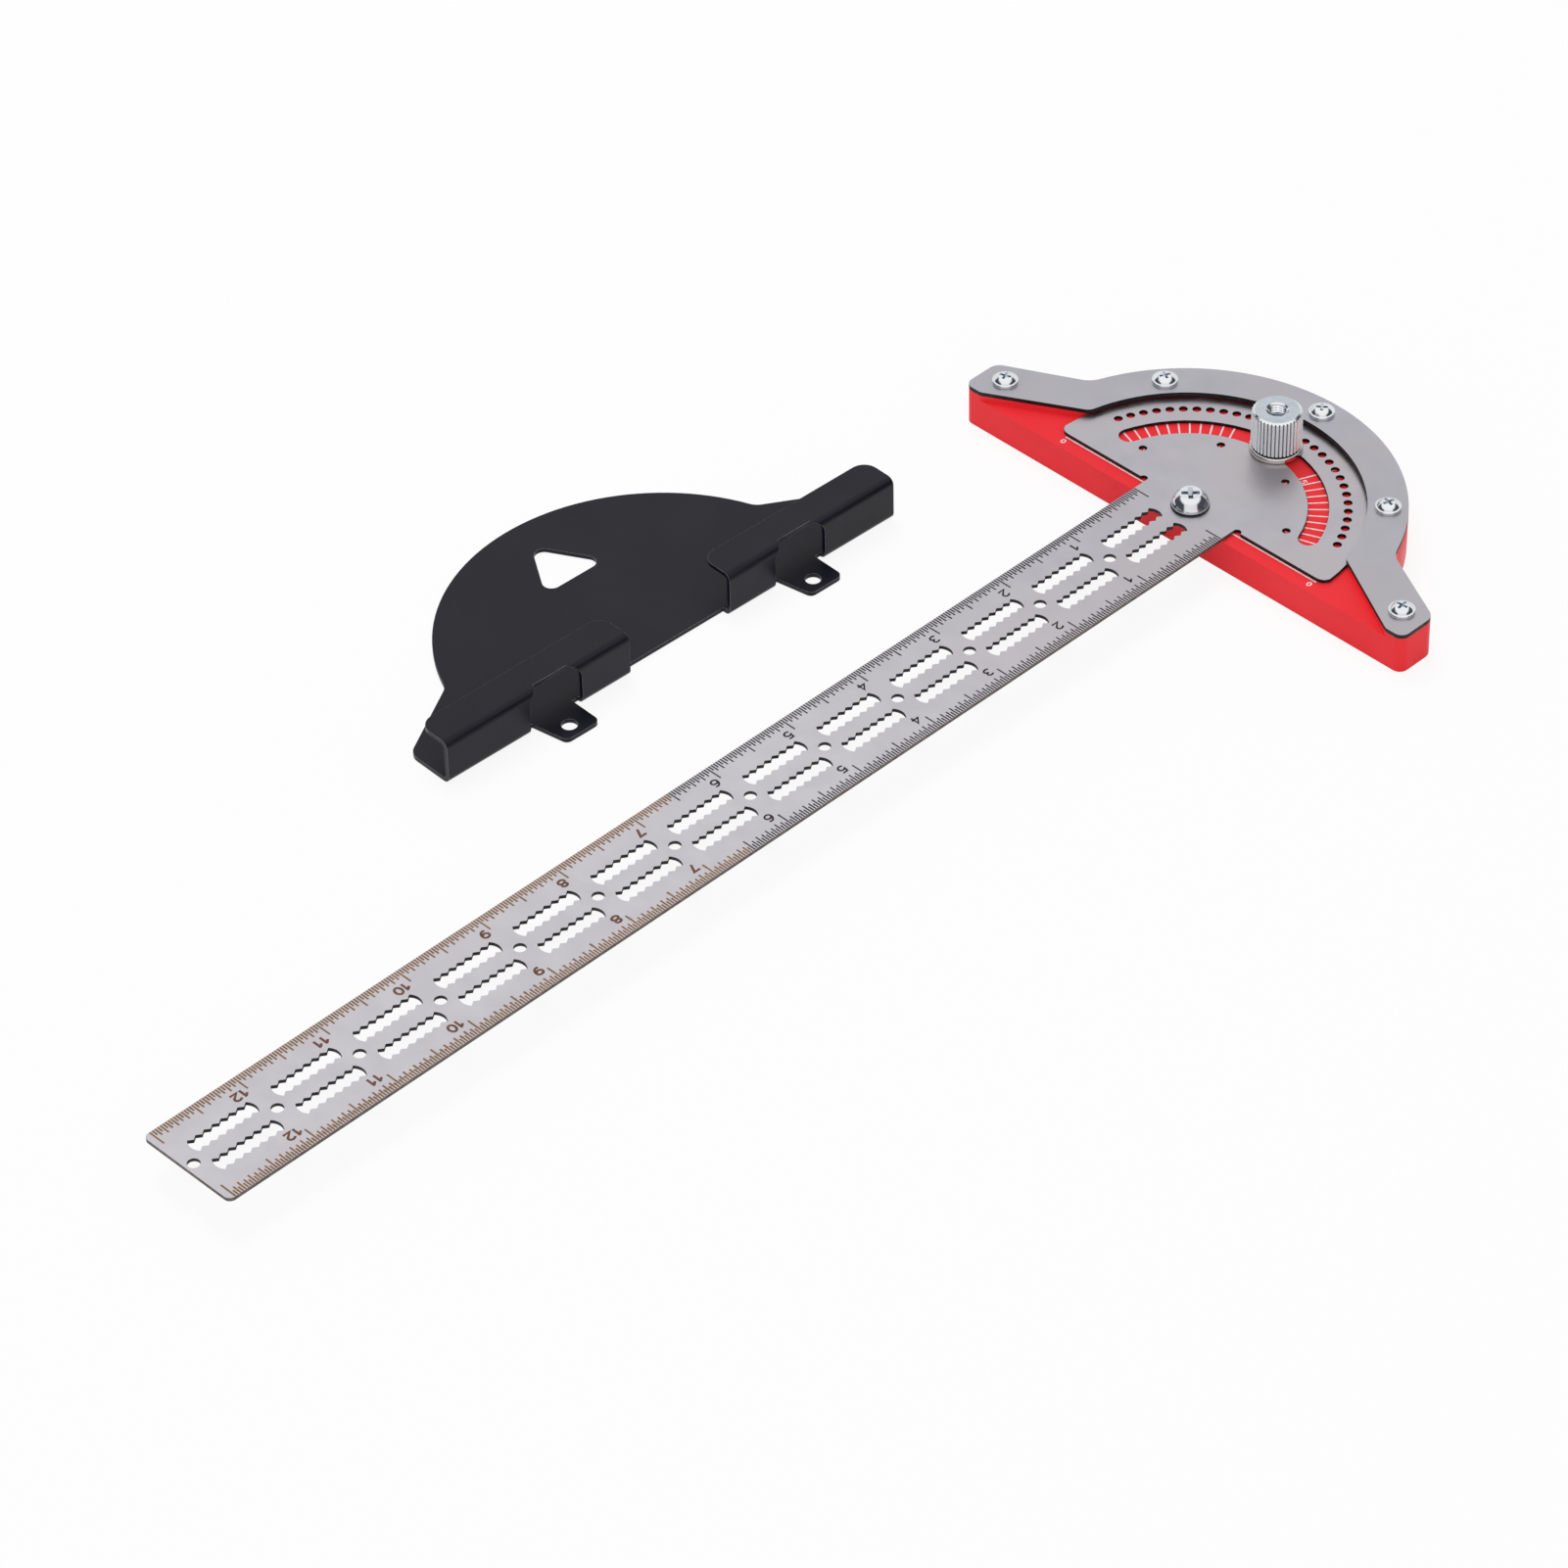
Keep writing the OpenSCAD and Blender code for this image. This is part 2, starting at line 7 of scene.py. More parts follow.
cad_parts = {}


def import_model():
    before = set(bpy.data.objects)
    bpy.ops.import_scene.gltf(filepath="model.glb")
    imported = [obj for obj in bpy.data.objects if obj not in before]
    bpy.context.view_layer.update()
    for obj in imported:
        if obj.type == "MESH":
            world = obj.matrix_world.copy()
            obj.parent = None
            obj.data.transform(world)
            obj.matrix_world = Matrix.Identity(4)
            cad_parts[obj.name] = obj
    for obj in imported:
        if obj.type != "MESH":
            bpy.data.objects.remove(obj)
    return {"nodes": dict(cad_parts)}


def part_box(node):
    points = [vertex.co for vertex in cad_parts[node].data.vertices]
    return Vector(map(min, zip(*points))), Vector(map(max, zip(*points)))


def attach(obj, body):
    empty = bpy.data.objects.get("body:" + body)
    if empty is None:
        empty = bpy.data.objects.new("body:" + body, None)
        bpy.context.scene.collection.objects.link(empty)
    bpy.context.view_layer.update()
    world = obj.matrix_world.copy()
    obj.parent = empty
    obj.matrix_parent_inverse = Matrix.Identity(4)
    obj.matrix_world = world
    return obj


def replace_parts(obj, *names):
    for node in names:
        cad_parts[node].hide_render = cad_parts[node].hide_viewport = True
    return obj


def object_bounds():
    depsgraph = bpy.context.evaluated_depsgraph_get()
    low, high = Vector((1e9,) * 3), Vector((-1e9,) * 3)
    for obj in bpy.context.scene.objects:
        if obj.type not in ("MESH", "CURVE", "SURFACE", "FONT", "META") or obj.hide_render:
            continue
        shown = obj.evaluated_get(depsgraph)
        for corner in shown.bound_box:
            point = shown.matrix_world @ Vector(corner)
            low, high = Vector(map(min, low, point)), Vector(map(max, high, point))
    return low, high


MM = 0.001
INCH = 25.4 * MM

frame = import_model()
cad_low, cad_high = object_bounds()
nodes = frame["nodes"]

# Heights and edges that the frame gives
floor_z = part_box("blade")[0].z
plate_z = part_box("blade")[1].z
rim_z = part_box("rim_plate")[1].z
front_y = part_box("base_body")[0].y
tip_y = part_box("blade")[0].y

# Half the width of the blade
blade_half = 15 * MM

# How far a printed or etched mark stands over its surface, and reaches under it
MARK_OVER = 0.015 * MM
MARK_UNDER = 0.02 * MM

# The colour sockets of a mix node, which share their names with its other sockets
MIX_A = 6
MIX_B = 7
MIX_RESULT = 2


def blended(tree, factor, a, b):
    """Colour a at a factor of 0 and colour b at 1; each is a colour or a socket."""
    made = tree.nodes.new("ShaderNodeMix")
    made.data_type = "RGBA"
    tree.links.new(factor, made.inputs["Factor"])
    for socket, colour in ((made.inputs[MIX_A], a), (made.inputs[MIX_B], b)):
        if isinstance(colour, tuple):
            socket.default_value = colour
        else:
            tree.links.new(colour, socket)
    return made.outputs[MIX_RESULT]


def spread(tree, value, start, end, low=0, high=1):
    """A value that is low at start and high at end."""
    made = tree.nodes.new("ShaderNodeMapRange")
    ends = {"From Min": start, "From Max": end, "To Min": low, "To Max": high}
    for socket, number in ends.items():
        made.inputs[socket].default_value = number
    tree.links.new(value, made.inputs["Value"])
    return made.outputs["Result"]


def srgb(r, g, b):
    """The linear colour of an 8-bit screen colour."""
    return tuple(
        (c / 255 / 12.92) if c <= 10 else ((c / 255 + 0.055) / 1.055) ** 2.4 for c in (r, g, b)
    )


# Noise is mostly between these values
NOISE_RANGE = (0.35, 0.65)


class Finish:
    """A material with one shader, and the textures that drive it; sizes are in metres."""

    def __init__(self, name, colour, roughness, metallic=0.0, **sockets):
        self.material = bpy.data.materials.new(name)
        self.material.use_nodes = True
        self.tree = self.material.node_tree
        self.shader = self.tree.nodes["Principled BSDF"]
        self.shader.inputs["Base Color"].default_value = (*colour, 1)
        self.shader.inputs["Roughness"].default_value = roughness
        self.shader.inputs["Metallic"].default_value = metallic
        for socket, value in sockets.items():
            self.shader.inputs[socket.replace("_", " ")].default_value = value

    def node(self, kind):
        return self.tree.nodes.new(kind)

    def link(self, source, target):
        self.tree.links.new(source, target)

    def place(self):
        return self.node("ShaderNodeTexCoord").outputs["Object"]

    def lengthwise(self):
        """The place along Y."""
        split = self.node("ShaderNodeSeparateXYZ")
        self.link(self.place(), split.inputs[0])
        return split.outputs["Y"]

    def noise(self, size, detail=3, stretch=(1, 1, 1)):
        """Noise whose blots are about size across."""
        mapping = self.node("ShaderNodeMapping")
        mapping.inputs["Scale"].default_value = stretch
        self.link(self.place(), mapping.inputs["Vector"])
        made = self.node("ShaderNodeTexNoise")
        made.inputs["Scale"].default_value = 1 / size
        made.inputs["Detail"].default_value = detail
        self.link(mapping.outputs["Vector"], made.inputs["Vector"])
        return made.outputs["Fac"]

    def mottled(self, one, other, size, start=0.3, end=0.7, **noise):
        """Two colours in blots, one where the noise is below start and the other above end."""
        made = self.node("ShaderNodeValToRGB")
        stops = ((start, one), (end, other))
        for element, (position, colour) in zip(made.color_ramp.elements, stops):
            element.position = position
            element.color = (*colour, 1)
        self.link(self.noise(size, **noise), made.inputs["Fac"])
        return made.outputs["Color"]

    def colour(self, source):
        self.link(source, self.shader.inputs["Base Color"])

    def rough(self, low, high, size, **noise):
        """Roughness that goes from low to high in blots."""
        source = spread(self.tree, self.noise(size, **noise), *NOISE_RANGE, low, high)
        self.link(source, self.shader.inputs["Roughness"])

    def grain(self, depth, size, strength=0.5, **noise):
        """Raises the surface in grains that are depth high."""
        made = self.node("ShaderNodeBump")
        made.inputs["Strength"].default_value = strength
        made.inputs["Distance"].default_value = depth
        self.link(self.noise(size, **noise), made.inputs["Height"])
        self.link(made.outputs["Normal"], self.shader.inputs["Normal"])


def red_coat():
    made = Finish("red_coat", srgb(240, 46, 54), 0.4, Specular_IOR_Level=0.14)
    made.colour(made.mottled(srgb(239, 46, 55), srgb(245, 52, 59), size=25 * MM))
    made.rough(0.34, 0.46, size=9 * MM)
    made.grain(0.02 * MM, size=0.35 * MM)
    return made.material


# Where the blade's steel begins to pale toward the tip, and where it is at its palest
PALER_FROM = -20 * MM
PALER_TO = -130 * MM
# How dark the darker blots are in the palest steel
PALE_SHADE = 0.93
# The noise over which clean steel goes over into stained
STAIN_RANGE = (0.4, 0.6)


def satin_steel(name, clean, dull, warm, tip=None):
    """Steel sheet, going over into another shade toward the blade's tip where tip names one."""
    made = Finish(name, clean, 0.32, 1.0)
    low, high = NOISE_RANGE
    blots = made.mottled(clean, dull, size=9 * MM, start=low, end=high)
    stains = made.mottled(clean, warm, size=33 * MM)
    stained = spread(made.tree, made.noise(21 * MM), *STAIN_RANGE)
    sheet = blended(made.tree, stained, blots, stains)
    if tip:
        shade = tuple(c * PALE_SHADE for c in tip)
        paler_tip_steel = made.mottled(tip, shade, size=9 * MM, start=low, end=high)
        toward_tip = spread(made.tree, made.lengthwise(), PALER_FROM, PALER_TO)
        sheet = blended(made.tree, toward_tip, sheet, paler_tip_steel)
    made.colour(sheet)
    made.rough(0.28, 0.36, size=4 * MM)
    made.grain(0.004 * MM, size=0.3 * MM, detail=2)
    return made.material


def cut_edge(name, dark, pale):
    """The dark walls that a laser leaves in steel sheet."""
    made = Finish(name, dark, 0.55, 0.6)
    made.colour(made.mottled(dark, pale, size=1.5 * MM))
    made.rough(0.45, 0.65, size=0.8 * MM, detail=2)
    made.grain(0.02 * MM, size=0.18 * MM, strength=0.6, detail=2, stretch=(1, 1, 0.1))
    return made.material


def bright_zinc():
    made = Finish("bright_zinc", srgb(236, 238, 240), 0.12, 1.0)
    made.colour(made.mottled(srgb(231, 234, 238), srgb(240, 241, 242), size=3 * MM, detail=4))
    made.rough(0.08, 0.16, size=1.2 * MM, detail=4)
    made.grain(0.004 * MM, size=0.5 * MM)
    return made.material


def blue_zinc():
    """The bluish zinc of the lock, a little duller than the screws."""
    made = Finish("blue_zinc", srgb(200, 208, 217), 0.24, 1.0)
    made.colour(made.mottled(srgb(193, 203, 213), srgb(207, 213, 220), size=2.5 * MM, detail=4))
    made.rough(0.14, 0.26, size=1.1 * MM, detail=4)
    made.grain(0.006 * MM, size=0.22 * MM, strength=0.6)
    return made.material


def black_coat():
    made = Finish("black_coat", srgb(18, 18, 29), 0.36, Specular_IOR_Level=0.22)
    made.colour(made.mottled(srgb(16, 16, 27), srgb(21, 21, 32), size=18 * MM))
    made.rough(0.3, 0.38, size=6 * MM)
    made.grain(0.01 * MM, size=0.6 * MM)
    return made.material


def thin_coat(name, colour, roughness, shine):
    """A plain coat that paints light or shade: a painted highlight on a sharp edge or a crest, or
    painted shade in a hollow.
    """
    made = Finish(name, colour, roughness, Specular_IOR_Level=shine)
    made.rough(roughness - 0.05, roughness + 0.05, size=3 * MM)
    return made.material


def black_nylon():
    made = Finish("black_nylon", srgb(24, 24, 26), 0.45)
    made.colour(made.mottled(srgb(20, 20, 22), srgb(32, 32, 34), size=2 * MM, detail=2))
    made.rough(0.38, 0.55, size=0.8 * MM, detail=2)
    return made.material


def etched(name, dark, pale):
    """The dull colour that a laser leaves in the steel's face."""
    made = Finish(name, dark, 0.6, Specular_IOR_Level=0.2)
    made.colour(made.mottled(dark, pale, size=1.5 * MM))
    return made.material


def worn_zinc():
    """The knurl's zinc: bright, and a little chalky."""
    made = Finish("worn_zinc", srgb(238, 243, 248), 0.24, 0.35)
    zinc, chalk = srgb(230, 237, 244), srgb(247, 249, 252)
    made.colour(made.mottled(zinc, chalk, size=1.5 * MM, detail=4, stretch=(1, 1, 0.2)))
    made.rough(0.14, 0.34, size=0.9 * MM, detail=4, stretch=(1, 1, 0.15))
    return made.material


def nickel():
    """The warm grey plate of the washer under the knob."""
    made = Finish("nickel", srgb(222, 217, 212), 0.18, 1.0)
    made.colour(made.mottled(srgb(216, 211, 206), srgb(229, 226, 222), size=2 * MM))
    made.rough(0.14, 0.22, size=1.3 * MM)
    return made.material


def white_ink():
    made = Finish("white_ink", srgb(238, 232, 232), 0.5)
    made.colour(made.mottled(srgb(226, 206, 206), srgb(242, 238, 238), size=0.8 * MM, end=0.6))
    made.rough(0.42, 0.6, size=0.5 * MM, detail=2)
    return made.material


RED = red_coat()
STEEL = satin_steel("satin_steel", srgb(194, 192, 199), srgb(187, 185, 192), srgb(194, 188, 191),
                    tip=srgb(210, 207, 213))
RIM_STEEL = satin_steel("rim_steel", srgb(188, 187, 195), srgb(181, 180, 188), srgb(187, 183, 188))
EDGE = cut_edge("cut_edge", srgb(28, 26, 29), srgb(52, 48, 50))
OUTER_EDGE = cut_edge("outer_edge", srgb(88, 78, 74), srgb(118, 108, 102))
ZINC = bright_zinc()
BLUE_ZINC = blue_zinc()
BLACK = black_coat()
# Painted highlights: pale grey on the rack's broken edges and pale pink on the head's, where they
# catch the light
BLACK_EDGE_HIGHLIGHT = thin_coat("black_edge_highlight", srgb(156, 156, 164), 0.35, 0.4)
RED_EDGE_HIGHLIGHT = thin_coat("red_edge_highlight", srgb(248, 104, 108), 0.35, 0.3)
NYLON = black_nylon()
# The first half of the scale is etched nearly black, the second half brown with tan marks
ETCHED_BLACK = etched("etched_black", srgb(30, 24, 26), srgb(48, 40, 42))
ETCHED_BROWN = etched("etched_brown", srgb(98, 66, 52), srgb(124, 88, 72))
ETCHED_TAN = etched("etched_tan", srgb(122, 88, 56), srgb(148, 112, 78))
NICKEL = nickel()
WORN_ZINC = worn_zinc()
# Painted shade: dark grey for the floors of the cross recesses, the bottoms of the knurl's grooves
# and the knob's foot
PAINTED_SHADE = thin_coat("painted_shade", srgb(74, 77, 84), 0.5, 0.2)
# Painted highlight: near white for the crests of the knurl
CREST_HIGHLIGHT = thin_coat("crest_highlight", srgb(246, 248, 250), 0.25, 0.8)
INK = white_ink()


# The most that the normal of a sheet's upright wall points up or down
WALL_LIFT = 0.5


def dress(node, material, edge=None):
    """Gives a CAD node its finish, and its upright walls another where edge names one."""
    mesh = nodes[node].data
    mesh.materials.clear()
    mesh.materials.append(material)
    if edge:
        mesh.materials.append(edge)
        for face in mesh.polygons:
            if abs(face.normal.z) < WALL_LIFT:
                face.material_index = 1


# How near the blade's long sides a wall is an outer one, and the radius of the corners at the tip
SIDE_NEAR = 0.1 * MM
TIP_CORNER = 1.5 * MM


def brush_outer_edge():
    """The blade's long edges and its tip, whose brushing leaves them paler than the slots."""
    mesh = nodes["blade"].data
    mesh.materials.append(OUTER_EDGE)
    for face in mesh.polygons:
        spot = face.center
        outside = abs(spot.x) > blade_half - SIDE_NEAR or spot.y < tip_y + TIP_CORNER
        if outside and spot.y < front_y and face.material_index == 1:
            face.material_index = 2


# Seams of a CAD node's mesh that are narrower than this are closed
SEAM = 0.001 * MM
# Edges that bend by more than this, in degrees, are broken
SHARP_BEND = 40


def soften(node, width, segments=2, highlight_finish=None):
    """Breaks the sharp edges of a CAD node; a finish given for them is a painted highlight."""
    joined = nodes[node].modifiers.new("joined_faces", "WELD")
    joined.merge_threshold = SEAM
    bevel = nodes[node].modifiers.new("soft_edges", "BEVEL")
    if highlight_finish:
        nodes[node].data.materials.append(highlight_finish)
        bevel.material = len(nodes[node].data.materials) - 1
    bevel.width = width
    bevel.segments = segments
    bevel.limit_method = "ANGLE"
    bevel.angle_limit = math.radians(SHARP_BEND)
    bevel.harden_normals = True


def dress_frame():
    dress("base_body", RED)
    # The head's broken edges get a painted highlight in pale pink
    soften("base_body", width=0.35 * MM, segments=3, highlight_finish=RED_EDGE_HIGHLIGHT)
    dress("blade", STEEL, EDGE)
    brush_outer_edge()
    soften("blade", width=0.06 * MM, segments=1)
    dress("rim_plate", RIM_STEEL, EDGE)
    soften("rim_plate", width=0.12 * MM)
    dress("pivot_washer", NYLON)
    dress("lock_washer", NICKEL)
    soften("lock_washer", width=0.4 * MM, segments=4)
    dress("wall_rack", BLACK)
    # The rack's broken edges get a painted highlight in pale grey
    soften("wall_rack", width=0.3 * MM, highlight_finish=BLACK_EDGE_HIGHLIGHT)


def place(name, mesh, material, body):
    """Puts a finished mesh in the scene as a piece that rides on a body."""
    mesh.name = name
    mesh.materials.clear()
    mesh.materials.append(material)
    piece = bpy.data.objects.new(name, mesh)
    bpy.context.scene.collection.objects.link(piece)
    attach(piece, body)
    return piece


def to_mesh(bm):
    mesh = bpy.data.meshes.new("made")
    bmesh.ops.recalc_face_normals(bm, faces=bm.faces)
    bm.to_mesh(mesh)
    bm.free()
    return mesh


def smooth(mesh, angle):
    """Smooth shading, with edges sharper than angle left crisp."""
    mesh.shade_smooth()
    mesh.set_sharp_from_angle(angle=math.radians(angle))


# Points nearer than this are one
SAME_POINT = 1e-7
# How far a mark's mitred corner may reach, as the least cosine of half its bend
MITRE_LEAST = 0.5


def add_ribbon(bm, points, width, surface):
    """A mark of even width along a bent line on a surface; a line that meets itself is closed."""
    points = [Vector(p) for p in points]
    closed = (points[0] - points[-1]).length < SAME_POINT
    if closed:
        points.pop()
    count = len(points)
    left, right = [], []
    for i, point in enumerate(points):
        before = points[i - 1] if closed or i > 0 else None
        after = points[(i + 1) % count] if closed or i < count - 1 else None
        one = (point - before).normalized() if before else (after - point).normalized()
        two = (after - point).normalized() if after else one
        along = (one + two).normalized()
        reach = width / 2 / max(MITRE_LEAST, along.dot(one))
        side = Vector((-along.y, along.x)) * reach
        left.append(point + side)
        right.append(point - side)
    low, high = surface - MARK_UNDER, surface + MARK_OVER
    rows = [[bm.verts.new((*p, z)) for p in line] for line, z in
            ((left, high), (right, high), (right, low), (left, low))]
    for i in range(count if closed else count - 1):
        j = (i + 1) % count
        for a, b in zip(rows, rows[1:] + rows[:1]):
            bm.faces.new((a[i], a[j], b[j], b[i]))
    if not closed:
        bm.faces.new([row[0] for row in rows])
        bm.faces.new([row[-1] for row in rows[::-1]])


def bow(x, y, across, up, start, end, steps=14):
    """Points along an ellipse about (x, y), angles in degrees."""
    turns = [math.radians(start + (end - start) * i / steps) for i in range(steps + 1)]
    return [(x + across * math.cos(a), y + up * math.sin(a)) for a in turns]


# The strokes of each digit, on a field one unit high
DIGITS = {
    "0": [bow(0.37, 0.5, 0.37, 0.5, 0, 360, 24)],
    "1": [[(0, 0.64), (0.4, 1)], [(0.4, 1.07), (0.4, -0.07)]],
    "2": [bow(0.37, 0.7, 0.36, 0.3, 160, -38) + [(0, 0), (0.82, 0)]],
    "3": [bow(0.36, 0.76, 0.33, 0.24, 150, -90), bow(0.36, 0.26, 0.38, 0.26, 90, -150)],
    "4": [[(0.6, -0.07), (0.6, 1), (0, 0.3), (0.84, 0.3)]],
    "5": [[(0.72, 1), (0.14, 1), (0.06, 0.52)] + bow(0.36, 0.32, 0.38, 0.32, 138, -145)],
    "6": [bow(0.39, 0.31, 0.37, 0.31, 0, 360, 20), bow(0.5, 0.34, 0.49, 0.66, 176, 62, 8)],
    "7": [[(0, 1), (0.76, 1), (0.26, -0.05)]],
    "8": [bow(0.38, 0.77, 0.31, 0.23, 0, 360, 18), bow(0.38, 0.27, 0.38, 0.27, 0, 360, 20)],
    "9": [bow(0.37, 0.69, 0.37, 0.31, 0, 360, 20), bow(0.26, 0.66, 0.49, 0.66, -4, -118, 8)],
}
DIGIT_GAP = 0.42
# Strokes that cross lie this much over each other
STROKE_STEP = 0.002 * MM


def add_number(bm, text, centre, height, turn, surface, width):
    """A number whose digits are height tall, turned about Z by turn degrees."""
    strokes, start = [], 0
    for digit in text:
        drawn = DIGITS[digit]
        strokes += [[(x + start, y) for x, y in line] for line in drawn]
        start += max(x for line in drawn for x, y in line) + DIGIT_GAP
    middle = (start - DIGIT_GAP) / 2
    scale = height - width
    a = math.radians(turn)
    for number, line in enumerate(strokes):
        points = []
        for x, y in line:
            x, y = (x - middle) * scale, (y - 0.5) * scale
            points.append((centre[0] + x * math.cos(a) - y * math.sin(a),
                           centre[1] + x * math.sin(a) + y * math.cos(a)))
        add_ribbon(bm, points, width, surface + number * STROKE_STEP)


# Length of a mark of the scale, by how many of its steps make an inch
MARK_LENGTHS = {1: 5.2 * MM, 2: 4.2 * MM, 4: 3.2 * MM, 8: 3.2 * MM, 16: 2.75 * MM, 32: 1.95 * MM}
MARKS_PER_INCH = 32
SCALE_INCHES = 13
# The marks stand a little past the middles of the pencil holes
SCALE_PAST = 0.4 * MM
SCALE_NUMBER_X = (-9.3 * MM, 9.15 * MM)
# How far the middle of each number lies past its mark, in millimetres
SCALE_NUMBER_PAST = (2.4, 2.8, 2.4, 2.5, 2.7, 2.3, 2.2, 2.3, 2.25, 3.3, 2.95, 2.95)


# How far inside the blade's long edges the marks begin
SCALE_INSET = 0.12 * MM
# Where the halves of the scale meet, in inches
SCALE_SPLIT = 6.5
# The halves: name, first and last inch, the marks' finish and width, and the numbers' finish,
# height and width of stroke
SCALE_HALVES = [
    ("scale_first_half", 0, SCALE_SPLIT,
     ETCHED_BLACK, 0.38 * MM, ETCHED_BLACK, 2.9 * MM, 0.5 * MM),
    ("scale_second_half", SCALE_SPLIT, SCALE_INCHES,
     ETCHED_TAN, 0.46 * MM, ETCHED_BROWN, 3.1 * MM, 0.66 * MM),
]


def add_scale_marks(bm, first, last, width):
    """Marks along both edges; the mark where the halves meet belongs to the first."""
    begin = int(first * MARKS_PER_INCH) + (first > 0)
    for step in range(begin, int(last * MARKS_PER_INCH) + 1):
        y = front_y - SCALE_PAST - step * INCH / MARKS_PER_INCH
        per_inch = next(n for n in MARK_LENGTHS if step * n % MARKS_PER_INCH == 0)
        for side in (-1, 1):
            outer = side * (blade_half - SCALE_INSET)
            inner = side * (blade_half - MARK_LENGTHS[per_inch])
            add_ribbon(bm, [(outer, y), (inner, y)], width, plate_z)


def add_scale_numbers(bm, first, last, height, width):
    for inch in range(1, SCALE_INCHES):
        if first < inch < last:
            y = front_y - SCALE_PAST - inch * INCH - SCALE_NUMBER_PAST[inch - 1] * MM
            for x in SCALE_NUMBER_X:
                add_number(bm, str(inch), (x, y), height, -90, plate_z, width)


def blade_scale():
    """Inches along both edges of the blade, in two halves that were etched to different depths."""
    for name, first, last, mark_finish, mark, number_finish, number_height, stroke in SCALE_HALVES:
        bm = bmesh.new()
        add_scale_marks(bm, first, last, mark)
        mark_faces = len(bm.faces)
        add_scale_numbers(bm, first, last, number_height, stroke)
        mesh = to_mesh(bm)
        place(name, mesh, number_finish, "blade")
        mesh.materials.append(mark_finish)
        for face in mesh.polygons[:mark_faces]:
            face.material_index = 1


ZERO_LINE_Y = -0.35 * MM
ZERO_LINE_END = 43 * MM
ZERO_PLACE = (42.2 * MM, -2.1 * MM)
ZERO_STROKE = 0.34 * MM
DIAL_NUMBER_HEIGHT = 1.7 * MM
DIAL_LINE_COUNT = 11
DIAL_LINE_START = 23.4
DIAL_LINE_STEP = 4.8
DIAL_LINE_INNER = 29.6 * MM
DIAL_LINE_OUTER = 40.9 * MM
DIAL_LINE_WIDTH = 0.42 * MM
# The numbers that the plate's round reading holes show
READING_R = 26.1 * MM
READING_ANGLES = (25, 70)
READING_STROKE = 0.26 * MM
# The number beside the first line of the right-hand dial
FIRST_NUMBER = "5"
FIRST_NUMBER_R = 31 * MM
FIRST_NUMBER_ANGLE = 26
FIRST_NUMBER_HEIGHT = 1.9 * MM
FIRST_NUMBER_STROKE = 0.3 * MM
FIRST_NUMBER_OVER = 0.01 * MM


def polar(radius, angle):
    """A point at an angle from +Y, turning toward +X."""
    a = math.radians(angle)
    return radius * math.sin(a), radius * math.cos(a)


def dial_marks():
    """White marks on the floor of the head, read past the blade and through its openings."""
    bm = bmesh.new()
    for side in (-1, 1):
        zero_line = [(side * blade_half, ZERO_LINE_Y), (side * ZERO_LINE_END, ZERO_LINE_Y)]
        add_ribbon(bm, zero_line, DIAL_LINE_WIDTH, floor_z)
        zero = (side * ZERO_PLACE[0], ZERO_PLACE[1])
        add_number(bm, "0", zero, DIAL_NUMBER_HEIGHT, 0, floor_z, ZERO_STROKE)
        for k in range(DIAL_LINE_COUNT):
            angle = side * (DIAL_LINE_START + DIAL_LINE_STEP * k)
            line = [polar(DIAL_LINE_INNER, angle), polar(DIAL_LINE_OUTER, angle)]
            add_ribbon(bm, line, DIAL_LINE_WIDTH, floor_z)
        for angle in READING_ANGLES:
            spot = polar(READING_R, side * angle)
            add_number(bm, str(angle), spot, DIAL_NUMBER_HEIGHT, -side * angle, floor_z,
                       READING_STROKE)
    add_number(bm, FIRST_NUMBER, polar(FIRST_NUMBER_R, FIRST_NUMBER_ANGLE), FIRST_NUMBER_HEIGHT,
               -FIRST_NUMBER_ANGLE, floor_z + FIRST_NUMBER_OVER, FIRST_NUMBER_STROKE)
    place("dial_marks", to_mesh(bm), INK, "head")


def skin(rings, joined=False):
    """A surface through rings of points; its ends are capped, or joined to each other."""
    bm = bmesh.new()
    made = [[bm.verts.new(p) for p in ring] for ring in rings]
    count = len(made[0])
    above = made[1:] + made[:1] if joined else made[1:]
    for low, high in zip(made, above):
        for i in range(count):
            j = (i + 1) % count
            bm.faces.new((low[i], low[j], high[j], high[i]))
    if not joined:
        bm.faces.new(made[0][::-1])
        bm.faces.new(made[-1])
    return bm


def circle(radius, z, steps):
    turns = [2 * math.pi * i / steps for i in range(steps)]
    return [(radius * math.cos(a), radius * math.sin(a), z) for a in turns]


# How far a cutter stands out of what it cuts
CUTTER_OVER = 0.5 * MM


def cross_cutter(span, width, depth, foot_span, foot_width):
    """A tapered cross, which a driver's recess is cut with; widths and spans are halves."""
    def outline(s, w, z):
        quarter = [(s, -w), (s, w), (w, w)]
        points = []
        for turn in range(4):
            a = math.pi / 2 * turn
            points += [(x * math.cos(a) - y * math.sin(a), x * math.sin(a) + y * math.cos(a), z)
                       for x, y in quarter]
        return points

    slope = (span - foot_span) / depth
    lean = (width - foot_width) / depth
    return to_mesh(skin([
        outline(foot_span, foot_width, -depth),
        outline(span + slope * CUTTER_OVER, width + lean * CUTTER_OVER, CUTTER_OVER),
    ]))


